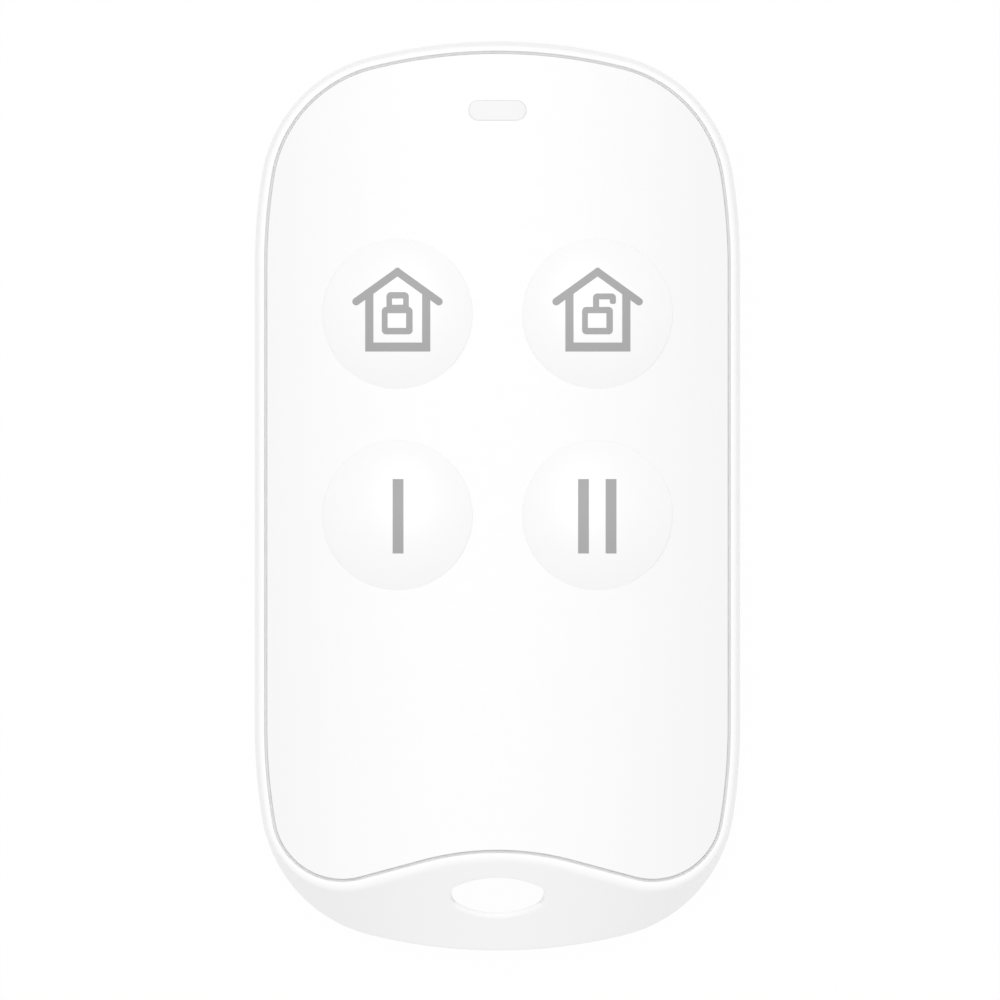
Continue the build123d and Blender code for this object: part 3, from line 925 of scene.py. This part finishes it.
def open_shackle(x, top):
    """Outlines and holes of a bow whose left leg alone stands in the padlock's body."""
    reach, bow_height, rounding = 0.82, 0.62, 0.3
    left_foot, right_foot, foot_rounding = 13.3, 13.73, 0.16
    hole_reach, hole_bottom, hole_drop = 0.38, 13.6, 0.42
    leg_top = top - rounding
    outlines = [
        rounded_rectangle(x - reach, top - bow_height, x + reach, top, rounding),
        rectangle(x - reach, left_foot, x - hole_reach, leg_top),
        rounded_rectangle(x + hole_reach, right_foot, x + reach, leg_top, foot_rounding),
    ]
    return outlines, [rectangle(x - hole_reach, hole_bottom, x + hole_reach, top - hole_drop)]


def padlock(x, shackle):
    """Outlines and holes of a padlock: its rounded body and the shackle's."""
    outlines, holes = shackle
    left, bottom, right, top = lock_hole
    body = rounded_rectangle(x - lock_reach, lock_bottom_y, x + lock_reach, lock_top_y, lock_round)
    return [body] + outlines, [rectangle(x + left, bottom, x + right, top)] + holes


def make_print(key, tool):
    """Cuts a printed shape to a thin layer that lies on the key's dome."""
    x, y = key_places[key]
    reaches = [
        key_radius * ink_reach_share * step / INK_STEPS for step in range(1, INK_STEPS + 1)
    ]
    rows = [dome_ring(x, y, reach, -ink_height) for reach in reaches]
    rows += [dome_ring(x, y, reach, ink_height) for reach in reaches[::-1]]
    bottom, top = (float(dome_ring(x, y, 0, side)[0, 2]) for side in (-ink_height, ink_height))
    layer = ring_solid("print_" + key, rows, (x, y, bottom), (x, y, top))
    return combine(layer, "INTERSECT", [tool])


# Materials
def object_space(tree, stretch):
    """The object's own coordinates, stretched along its axes."""
    coords = tree.nodes.new("ShaderNodeTexCoord")
    mapping = tree.nodes.new("ShaderNodeMapping")
    mapping.inputs["Scale"].default_value = stretch
    tree.links.new(coords.outputs["Object"], mapping.inputs["Vector"])
    return mapping.outputs["Vector"]


def noise(tree, space, scale, detail=2):
    """Value of a noise over the coordinates."""
    texture = tree.nodes.new("ShaderNodeTexNoise")
    texture.inputs["Scale"].default_value = scale
    texture.inputs["Detail"].default_value = detail
    tree.links.new(space, texture.inputs["Vector"])
    return texture.outputs["Fac"]


def finish(name, colour, roughness, grain, depth, swing=0.06, stretch=(1, 1, 1), **sockets):
    """Procedural finish: fine grain in the relief and a slow change of gloss over the surface."""
    slow_ratio = 12
    material = bpy.data.materials.new(name)
    material.use_nodes = True
    tree = material.node_tree
    shader = tree.nodes["Principled BSDF"]
    shader.inputs["Base Color"].default_value = (*colour, 1)
    for socket, value in sockets.items():
        shader.inputs[socket.replace("_", " ")].default_value = value
    space = object_space(tree, stretch)
    fine = noise(tree, space, grain, 3)
    slow = noise(tree, space, grain / slow_ratio)
    gloss = tree.nodes.new("ShaderNodeMapRange")
    gloss.inputs["To Min"].default_value = roughness - swing
    gloss.inputs["To Max"].default_value = roughness + swing
    tree.links.new(slow, gloss.inputs["Value"])
    tree.links.new(gloss.outputs["Result"], shader.inputs["Roughness"])
    bump = tree.nodes.new("ShaderNodeBump")
    bump.inputs["Strength"].default_value = 1
    bump.inputs["Distance"].default_value = depth
    tree.links.new(fine, bump.inputs["Height"])
    tree.links.new(bump.outputs["Normal"], shader.inputs["Normal"])
    return material


def tint(material, colour_a, colour_b, scale, stretch=(1, 1, 1), spread=0.5):
    """Makes the colour vary between two close tones over the surface."""
    tree = material.node_tree
    value = noise(tree, object_space(tree, stretch), scale)
    ramp = tree.nodes.new("ShaderNodeValToRGB")
    first, last = ramp.color_ramp.elements
    first.position = 0.5 - spread / 2
    first.color = (*colour_a, 1)
    last.position = 0.5 + spread / 2
    last.color = (*colour_b, 1)
    tree.links.new(value, ramp.inputs["Fac"])
    tree.links.new(ramp.outputs["Color"], tree.nodes["Principled BSDF"].inputs["Base Color"])
    return material


def dress(obj, material):
    """Gives the object the material as its only one."""
    obj.data.materials.clear()
    obj.data.materials.append(material)
    return obj


housing_finish = finish("moulded_white", (0.962, 0.962, 0.962), 0.46, 9000, 0.000002)
panel_finish = finish(
    "panel_white", (0.866, 0.866, 0.866), 0.32, 12000, 0.000001, 0.03, Specular_IOR_Level=0.7
)
key_finish = finish(
    "key_white", (0.934, 0.934, 0.934), 0.38, 14000, 0.000001, 0.03, Specular_IOR_Level=0.7
)
window_finish = finish("window_milky", (0.822, 0.824, 0.822), 0.3, 6000, 0.0000005, 0.03)
ink_finish = finish("print_grey", (0.38, 0.38, 0.383), 0.5, 16000, 0.0000015)
screw_finish = finish("plated_steel", (0.62, 0.6, 0.57), 0.3, 5000, 0.000001, 0.08, Metallic=1.0)
node_finishes = {
    "circuit_board": tint(
        finish("board_mask", (0.02, 0.16, 0.07), 0.32, 3000, 0.000003, 0.08),
        (0.014, 0.128, 0.057),
        (0.018, 0.165, 0.073),
        420,
        (1, 3, 1),
        0.6,
    ),
    "status_lamp": finish("lamp_resin", (0.9, 0.88, 0.78), 0.25, 5000, 0.000001),
    "radio_chip": finish("chip_resin", (0.025, 0.025, 0.027), 0.55, 12000, 0.000003),
    "crystal": finish("crystal_can", (0.75, 0.74, 0.7), 0.32, 6000, 0.000001, 0.08, Metallic=1.0),
    "small_board_parts": tint(
        finish("ceramic", (0.42, 0.3, 0.2), 0.5, 9000, 0.000002),
        (0.36, 0.25, 0.16),
        (0.48, 0.36, 0.25),
        900,
    ),
    "aerial": finish("tinned_brass", (0.78, 0.72, 0.58), 0.3, 4000, 0.0000015, 0.08, Metallic=1.0),
    "coin_cell": finish(
        "cell_steel", (0.72, 0.72, 0.72), 0.26, 2500, 0.000001, 0.07, (1, 8, 1), Metallic=1.0
    ),
    "cell_negative_contact": finish(
        "contact_steel", (0.74, 0.73, 0.7), 0.24, 3500, 0.000001, 0.06, (1, 6, 1), Metallic=1.0
    ),
    "switch_arm": finish("switch_resin", (0.03, 0.03, 0.032), 0.48, 9000, 0.000002),
    "plunger_arm": finish("plunger_resin", (0.55, 0.54, 0.5), 0.4, 9000, 0.000001),
}
node_finishes["transmitter_chip"] = node_finishes["radio_chip"]
node_finishes["cell_positive_clip"] = node_finishes["cell_negative_contact"]
for key in key_places:
    node_finishes["switch_" + key] = node_finishes["switch_arm"]
    node_finishes["plunger_" + key] = node_finishes["plunger_arm"]
for node, material in node_finishes.items():
    for material_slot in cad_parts[node].material_slots:
        material_slot.material = material

# Pieces that stand for CAD nodes
for obj, node, material, slot, crowned in (
    (make_housing(), "front_housing", housing_finish, "housing_plastic", True),
    (make_panel(), "front_panel", panel_finish, "panel_plastic", True),
    (make_window(), "lamp_window", window_finish, "window_plastic", False),
    (make_cover(), "rear_cover", housing_finish, "housing_plastic", False),
):
    smooth(obj)
    if crowned:
        crown_normals(obj)
    dress(obj, material)
    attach(obj, "housing")
    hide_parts(node)

for number, (x, y) in enumerate(screw_places, 1):
    screw = dress(make_screw("screw_" + str(number), x, y), screw_finish)
    smooth(screw)
    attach(screw, "housing")
    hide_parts("cover_screws")

lock_left, lock_left_holes = padlock(lock_left_x, closed_shackle(-7.14, 14.58))
lock_right, lock_right_holes = padlock(lock_right_x, open_shackle(7.65, 14.48))
prints = {
    "arm": (house(house_left_x) + lock_left, lock_left_holes),
    "disarm": (house(house_right_x) + lock_right, lock_right_holes),
    "one": ([bar(numeral_one_x)], []),
    "two": ([bar(x) for x in numeral_two_x], []),
}
for key, (x, y) in key_places.items():
    cap = dress(make_keycap("keycap_" + key, x, y), key_finish)
    smooth(cap)
    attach(cap, key + "_key")
    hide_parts("button_" + key)
    outlines, holes = prints[key]
    symbol = dress(make_print(key, print_tool(outlines, holes)), ink_finish)
    smooth(symbol)
    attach(symbol, key + "_key")


def larger(tree, a, b):
    """The larger of two values."""
    node = tree.nodes.new("ShaderNodeMath")
    node.operation = "MAXIMUM"
    tree.links.new(a, node.inputs[0])
    tree.links.new(b, node.inputs[1])
    return node.outputs[0]


def seen_rays(tree):
    """One for rays by which a surface is seen, straight or in metal and glass, or else zero."""
    path = tree.nodes.new("ShaderNodeLightPath")
    seen = larger(tree, path.outputs["Is Camera Ray"], path.outputs["Is Glossy Ray"])
    return larger(tree, seen, path.outputs["Is Transmission Ray"])


# Floor: nearly white where it is seen, and the rest of it takes the fob's shadow
floor_glow_share = 0.98
bm = bmesh.new()
bmesh.ops.create_grid(bm, x_segments=8, y_segments=8, size=1.5)
floor_mesh = bpy.data.meshes.new("floor")
bm.to_mesh(floor_mesh)
bm.free()
floor = bpy.data.objects.new("floor", floor_mesh)
bpy.context.scene.collection.objects.link(floor)
floor_material = bpy.data.materials.new("floor_white")
floor_material.use_nodes = True
floor_tree = floor_material.node_tree
paper = floor_tree.nodes["Principled BSDF"]
paper.inputs["Base Color"].default_value = (0.9, 0.9, 0.9, 1)
paper.inputs["Roughness"].default_value = 0.9
glow = floor_tree.nodes.new("ShaderNodeEmission")
share = floor_tree.nodes.new("ShaderNodeMath")
share.operation = "MULTIPLY"
share.inputs[1].default_value = floor_glow_share
floor_tree.links.new(seen_rays(floor_tree), share.inputs[0])
blend = floor_tree.nodes.new("ShaderNodeMixShader")
floor_tree.links.new(share.outputs[0], blend.inputs[0])
floor_tree.links.new(paper.outputs[0], blend.inputs[1])
floor_tree.links.new(glow.outputs[0], blend.inputs[2])
floor_tree.links.new(blend.outputs[0], floor_tree.nodes["Material Output"].inputs["Surface"])
dress(floor, floor_material)

# World: even light, and plain white where it is seen
sky_strength = 0.775
world = bpy.data.worlds.new("studio")
bpy.context.scene.world = world
world.use_nodes = True
world_tree = world.node_tree
sky = world_tree.nodes["Background"]
sky.inputs["Color"].default_value = (1, 1, 1, 1)
sky.inputs["Strength"].default_value = sky_strength
backdrop = world_tree.nodes.new("ShaderNodeBackground")
backdrop.inputs["Color"].default_value = (1, 1, 1, 1)
backdrop.inputs["Strength"].default_value = 1
choice = world_tree.nodes.new("ShaderNodeMixShader")
world_tree.links.new(seen_rays(world_tree), choice.inputs[0])
world_tree.links.new(sky.outputs[0], choice.inputs[1])
world_tree.links.new(backdrop.outputs[0], choice.inputs[2])
world_tree.links.new(choice.outputs[0], world_tree.nodes["World Output"].inputs["Surface"])


def softbox(name, place, size_x, size_y, watts):
    """Rectangular lamp that faces the fob."""
    data = bpy.data.lights.new(name, "AREA")
    data.shape = "RECTANGLE"
    data.size = size_x
    data.size_y = size_y
    data.energy = watts
    lamp = bpy.data.objects.new(name, data)
    lamp.location = place
    lamp.rotation_mode = "QUATERNION"
    lamp.rotation_quaternion = (-Vector(place)).to_track_quat("-Z", "Y")
    bpy.context.scene.collection.objects.link(lamp)


# Lamps, with their places and sizes in metres
softbox("overhead", (-0.03, 0.13, 0.9), 0.42, 0.45, 1.93)
softbox("upper", (-0.06, 0.5, 0.85), 0.4, 0.3, 0.37)

# Camera: straight above and without perspective, with the photograph's frame
frame_width = 71.5
camera_place = (0.18, -0.286, 500)
camera_data = bpy.data.cameras.new("camera")
camera = bpy.data.objects.new("camera", camera_data)
bpy.context.scene.collection.objects.link(camera)
camera_data.type = "ORTHO"
camera_data.ortho_scale = frame_width * MM
camera_data.clip_start = 0.01
camera_data.clip_end = 10
camera.location = [c * MM for c in camera_place]
bpy.context.scene.camera = camera
bpy.context.scene.view_settings.view_transform = "Standard"
